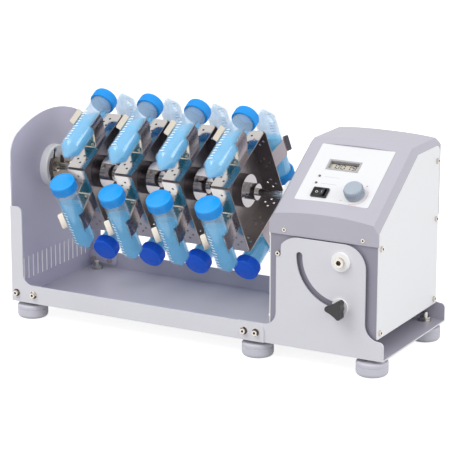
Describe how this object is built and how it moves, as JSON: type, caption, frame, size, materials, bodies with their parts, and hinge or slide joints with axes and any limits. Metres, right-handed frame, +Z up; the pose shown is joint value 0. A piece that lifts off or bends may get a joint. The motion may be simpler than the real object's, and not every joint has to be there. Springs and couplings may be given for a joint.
{
  "type": "tube rotator",
  "caption": "Bench rotator with a tilting control head that turns a horizontal shaft of square frames carrying clipped conical tubes.",
  "frame": {"origin": "centre of the whole machine's outline at bench height", "axes": "+X along the shaft towards the control head, +Y from the operator to the back, +Z up"},
  "size_m": [0.548, 0.2404, 0.3074],
  "materials": {
    "sheet_light": "satin powder coat",
    "sheet_grey": "satin powder coat",
    "cover_grey": "fine moulded texture",
    "panel_white": "smooth white powder coat",
    "white_plastic": "turned white plastic",
    "stainless": "bright rolled sheet",
    "spring_steel": "polished spring strip",
    "hub_steel": "turned",
    "screw_steel": "nickel plated",
    "zinc": "zinc plated",
    "foot_rubber": "grey moulded rubber",
    "black_plastic": "moulded",
    "knob_grey": "moulded",
    "label_white": "printed film on a plate",
    "bezel_grey": "moulded",
    "display": "liquid-crystal panel",
    "lamp": "clear lens over a dark chip",
    "motor_metal": "machined",
    "board_green": "solder mask",
    "tube_clear": "clear moulded plastic",
    "cap_blue": "moulded"
  },
  "bodies": {
    "base": {"base_tray": "sheet_light", "end_plate": "sheet_grey", "tilt_bracket": "sheet_light", "end_boss": "white_plastic", "shaft_saddle": "hub_steel", "base_screws": "screw_steel", "foot_nuts": "zinc", "pivot_bolts": "screw_steel", "pivot_washers": "white_plastic"},
    "head": {"head_chassis": "sheet_grey", "top_cover": "cover_grey", "right_panel": "panel_white", "left_panel": "panel_white", "panel_screws": "screw_steel", "stop_screw": "screw_steel", "control_label": "label_white", "display_bezel": "bezel_grey", "display_window": "display", "indicator_lamps": "lamp", "switch_frame": "black_plastic", "speed_control": "motor_metal", "gear_motor": "motor_metal", "motor_bracket": "zinc", "shaft_hub": "white_plastic", "shaft_bearings": "motor_metal", "circuit_board": "board_green", "power_supply": "zinc", "power_inlet": "black_plastic", "lock_washer": "white_plastic"},
    "rotor": {"shaft": "stainless", "shaft_coupling": "motor_metal", "frame_1": "stainless", "frame_2": "stainless", "frame_3": "stainless", "frame_4": "stainless", "frame_hubs": "hub_steel", "clips_1": "spring_steel", "clips_2": "spring_steel", "clips_3": "spring_steel", "clips_4": "spring_steel", "tubes": "tube_clear", "caps": "cap_blue", "rotor_screws": "screw_steel"},
    "lock": {"lock_stud": "zinc", "lock_knob": "black_plastic"},
    "knob": {"speed_knob": "knob_grey"},
    "rocker": {"switch_rocker": "black_plastic"},
    "foot_1": {"foot_pad_1": "foot_rubber", "foot_stud_1": "zinc"},
    "foot_2": {"foot_pad_2": "foot_rubber", "foot_stud_2": "zinc"},
    "foot_3": {"foot_pad_3": "foot_rubber", "foot_stud_3": "zinc"},
    "foot_4": {"foot_pad_4": "foot_rubber", "foot_stud_4": "zinc"},
    "foot_5": {"foot_pad_5": "foot_rubber", "foot_stud_5": "zinc"},
    "foot_6": {"foot_pad_6": "foot_rubber", "foot_stud_6": "zinc"}
  },
  "joints": [
    {"name": "head_tilt", "type": "hinge", "parent": "base", "child": "head", "pos_m": [0.2153, 0.0038, 0.144], "axis": [0, 1, 0], "range_deg": [0, 90]},
    {"name": "rotor_spin", "type": "hinge", "parent": "head", "child": "rotor", "pos_m": [0.113, 0.0038, 0.191], "axis": [1, 0, 0], "continuous": true},
    {"name": "speed_knob_turn", "type": "hinge", "parent": "head", "child": "knob", "pos_m": [0.214, -0.05285, 0.21779], "axis": [0, 0.5633, -0.8262], "range_deg": [-60, 240]},
    {"name": "switch_rock", "type": "hinge", "parent": "head", "child": "rocker", "pos_m": [0.1675, -0.05618, 0.21557], "axis": [0, 0.8262, 0.5633], "range_deg": [0, 16]},
    {"name": "lock_turn", "type": "hinge", "parent": "head", "child": "lock", "pos_m": [0.2153, -0.0952, 0.086], "axis": [0, 1, 0], "range_deg": [0, 270]},
    {"name": "foot_1_turn", "type": "hinge", "parent": "base", "child": "foot_1", "pos_m": [-0.2525, -0.0777, 0], "axis": [0, 0, 1], "continuous": true},
    {"name": "foot_2_turn", "type": "hinge", "parent": "base", "child": "foot_2", "pos_m": [0.092, -0.0777, 0], "axis": [0, 0, 1], "continuous": true},
    {"name": "foot_3_turn", "type": "hinge", "parent": "base", "child": "foot_3", "pos_m": [0.2525, -0.0777, 0], "axis": [0, 0, 1], "continuous": true},
    {"name": "foot_4_turn", "type": "hinge", "parent": "base", "child": "foot_4", "pos_m": [-0.2525, 0.0853, 0], "axis": [0, 0, 1], "continuous": true},
    {"name": "foot_5_turn", "type": "hinge", "parent": "base", "child": "foot_5", "pos_m": [0.092, 0.0853, 0], "axis": [0, 0, 1], "continuous": true},
    {"name": "foot_6_turn", "type": "hinge", "parent": "base", "child": "foot_6", "pos_m": [0.2525, 0.0853, 0], "axis": [0, 0, 1], "continuous": true}
  ]
}
